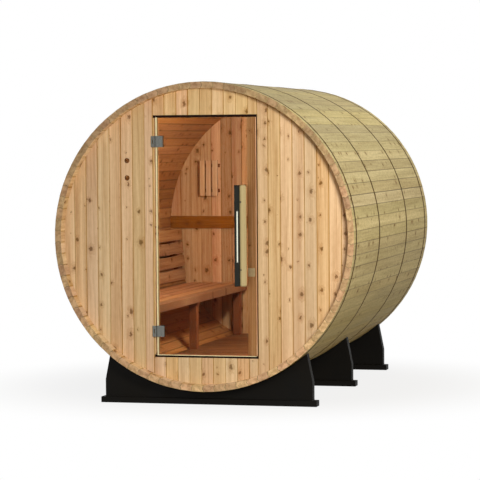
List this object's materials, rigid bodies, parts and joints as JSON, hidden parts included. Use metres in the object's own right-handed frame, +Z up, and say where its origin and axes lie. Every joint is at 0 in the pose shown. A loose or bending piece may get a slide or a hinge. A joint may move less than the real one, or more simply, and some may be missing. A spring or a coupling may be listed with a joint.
{
  "type": "barrel sauna",
  "caption": "Cedar stave barrel sauna on black cradles, with steel hoops, recessed plank end walls, a hinged tinted glass door and a slatted bench inside.",
  "frame": {"origin": "on the ground under the middle of the barrel", "axes": "+Y along the barrel from the door to the rear, +X to the right seen from the door, +Z up"},
  "size_m": [1.8325, 2.44, 1.9163],
  "materials": {
    "cradle_black": "satin",
    "stave_cedar": "planed",
    "hoop_steel": "rolled",
    "wall_cedar": "planed",
    "trim_cedar": "planed",
    "pale_wood": "sanded",
    "polished_steel": "polished",
    "bronze_glass": "tinted"
  },
  "bodies": {
    "sauna": {"cradle_front": "cradle_black", "cradle_middle": "cradle_black", "cradle_rear": "cradle_black", "staves_crown": "stave_cedar", "staves_upper_right": "stave_cedar", "staves_right": "stave_cedar", "staves_lower_right": "stave_cedar", "staves_bottom": "stave_cedar", "staves_lower_left": "stave_cedar", "staves_left": "stave_cedar", "staves_upper_left": "stave_cedar", "hoop_front": "hoop_steel", "hoop_mid_front": "hoop_steel", "hoop_mid_rear": "hoop_steel", "hoop_rear": "hoop_steel", "front_wall_left": "wall_cedar", "front_wall_right": "wall_cedar", "front_wall_over_door": "wall_cedar", "front_wall_under_door": "wall_cedar", "rear_wall_left": "wall_cedar", "rear_wall_right": "wall_cedar", "hinge_jamb": "wall_cedar", "rear_batten": "trim_cedar", "lamp_rails": "trim_cedar", "lamp_slats": "trim_cedar", "latch_stop": "trim_cedar", "head_stop": "trim_cedar", "threshold": "trim_cedar", "floor_slats": "trim_cedar", "floor_bearers": "trim_cedar", "seat_slats_left": "trim_cedar", "seat_bearers": "trim_cedar", "seat_legs": "trim_cedar", "backrest_slats": "trim_cedar", "backrest_uprights": "trim_cedar", "door_catch": "pale_wood", "hinge_upper_leaf": "polished_steel", "hinge_lower_leaf": "polished_steel"},
    "door": {"hinge_upper_clamp": "polished_steel", "hinge_lower_clamp": "polished_steel", "door_glass": "bronze_glass", "handle_posts": "polished_steel", "handle_bar": "polished_steel", "handle_grip": "pale_wood", "handle_inner_grip": "pale_wood"}
  },
  "joints": [
    {"name": "door_hinge", "type": "hinge", "parent": "sauna", "child": "door", "pos_m": [-0.308, -1.16, 1], "axis": [0, 0, -1], "range_deg": [0, 110]}
  ]
}
